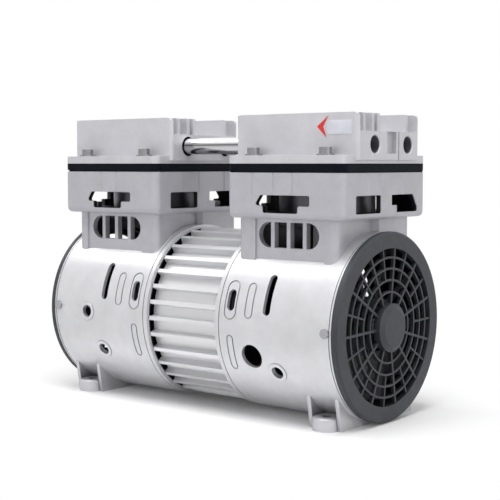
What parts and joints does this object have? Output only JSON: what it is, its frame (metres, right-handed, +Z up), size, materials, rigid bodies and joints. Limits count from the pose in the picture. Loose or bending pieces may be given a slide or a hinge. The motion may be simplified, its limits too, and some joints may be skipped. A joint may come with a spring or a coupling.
{
  "type": "oil-free air compressor",
  "caption": "Oil-free rocking-piston air compressor: finned motor between two drum crankcases with feet and fan guards, windowed cylinder housings, finned heads joined by tubes",
  "frame": {"origin": "centre of the footprint on the plane that the feet stand on", "axes": "+X along the shaft, +Z up, -Y the front with the lead outlet"},
  "size_m": [0.278, 0.1338, 0.2123],
  "materials": {
    "cast_case": "bright blasted casting",
    "cast_upper": "fine cast grain",
    "cast_cover": "fine cast grain",
    "fin_alloy": "extruded, satin",
    "core_steel": "stacked sheet",
    "winding": "varnished wire",
    "screw_steel": "zinc plated",
    "bearing_steel": "ground",
    "sleeve_alloy": "hard anodised",
    "gasket": "matte",
    "plate_black": "satin black",
    "spring_steel": "rolled",
    "tube_chrome": "bright",
    "guard_plastic": "matte black",
    "fan_plastic": "matte black",
    "shaft_steel": "ground",
    "eccentric_iron": "machined",
    "rod_alloy": "die cast",
    "cup_ptfe": "filled seal plastic"
  },
  "bodies": {
    "frame": {"stator_housing": "fin_alloy", "stator_core": "core_steel", "stator_windings": "winding", "tie_bolts": "screw_steel", "crankcase_left": "cast_case", "crankcase_right": "cast_case", "cylinder_neck_left": "cast_case", "cylinder_neck_right": "cast_case", "foot_frame_left": "cast_case", "foot_frame_right": "cast_case", "bearing_shield_left": "cast_case", "bearing_shield_right": "cast_case", "main_bearing_outers": "bearing_steel", "cylinder_housing_left": "cast_upper", "cylinder_housing_right": "cast_upper", "deck_screws": "screw_steel", "cylinder_sleeve_left": "sleeve_alloy", "cylinder_sleeve_right": "sleeve_alloy", "base_gasket_left": "gasket", "base_gasket_right": "gasket", "valve_plate_left": "plate_black", "valve_plate_right": "plate_black", "head_gasket_left": "gasket", "head_gasket_right": "gasket", "reed_stop_left": "spring_steel", "reed_stop_right": "spring_steel", "head_cover_left": "cast_cover", "head_cover_right": "cast_cover", "head_screws": "screw_steel", "crossover_tube_front": "tube_chrome", "crossover_tube_rear": "tube_chrome", "tube_seals": "gasket", "fan_guard_left": "guard_plastic", "fan_guard_right": "guard_plastic", "guard_screws": "screw_steel"},
    "rotor": {"shaft": "shaft_steel", "rotor_core": "core_steel", "main_bearing_inners": "bearing_steel", "eccentric_left": "eccentric_iron", "eccentric_right": "eccentric_iron", "rod_bearing_inners": "bearing_steel", "cooling_fan_left": "fan_plastic", "cooling_fan_right": "fan_plastic", "fan_clips": "shaft_steel"},
    "piston_left": {"connecting_rod_left": "rod_alloy", "rod_bearing_outer_left": "bearing_steel", "piston_cup_left": "cup_ptfe", "cup_retainer_left": "rod_alloy", "retainer_screw_left": "screw_steel"},
    "piston_right": {"connecting_rod_right": "rod_alloy", "rod_bearing_outer_right": "bearing_steel", "piston_cup_right": "cup_ptfe", "cup_retainer_right": "rod_alloy", "retainer_screw_right": "screw_steel"},
    "intake_reed_left": {"intake_reed_left": "spring_steel"},
    "intake_reed_right": {"intake_reed_right": "spring_steel"},
    "exhaust_reed_left": {"exhaust_reed_left": "spring_steel"},
    "exhaust_reed_right": {"exhaust_reed_right": "spring_steel"}
  },
  "joints": [
    {"name": "shaft_spin", "type": "hinge", "parent": "frame", "child": "rotor", "pos_m": [0, 0, 0.0662], "axis": [1, 0, 0], "continuous": true},
    {"name": "rod_left_eye", "type": "hinge", "parent": "rotor", "child": "piston_left", "pos_m": [-0.08215, 0, 0.0622], "axis": [1, 0, 0], "continuous": true},
    {"name": "rod_right_eye", "type": "hinge", "parent": "rotor", "child": "piston_right", "pos_m": [0.08215, 0, 0.0702], "axis": [1, 0, 0], "continuous": true},
    {"name": "intake_reed_left_lift", "type": "hinge", "parent": "frame", "child": "intake_reed_left", "pos_m": [-0.10015, -0.013, 0.1729], "axis": [0, 1, 0], "range_deg": [0, 3], "stiffness_Nm_per_rad": 0.05},
    {"name": "exhaust_reed_left_lift", "type": "hinge", "parent": "frame", "child": "exhaust_reed_left", "pos_m": [-0.10015, 0.014, 0.1781], "axis": [0, -1, 0], "range_deg": [0, 2.5], "stiffness_Nm_per_rad": 0.05},
    {"name": "intake_reed_right_lift", "type": "hinge", "parent": "frame", "child": "intake_reed_right", "pos_m": [0.06415, -0.013, 0.1729], "axis": [0, 1, 0], "range_deg": [0, 3], "stiffness_Nm_per_rad": 0.05},
    {"name": "exhaust_reed_right_lift", "type": "hinge", "parent": "frame", "child": "exhaust_reed_right", "pos_m": [0.06415, 0.014, 0.1781], "axis": [0, -1, 0], "range_deg": [0, 2.5], "stiffness_Nm_per_rad": 0.05}
  ],
  "couplings": [
    {"joint": "rod_left_eye", "follows": "shaft_spin", "ratio": -1},
    {"joint": "rod_right_eye", "follows": "shaft_spin", "ratio": -1}
  ]
}
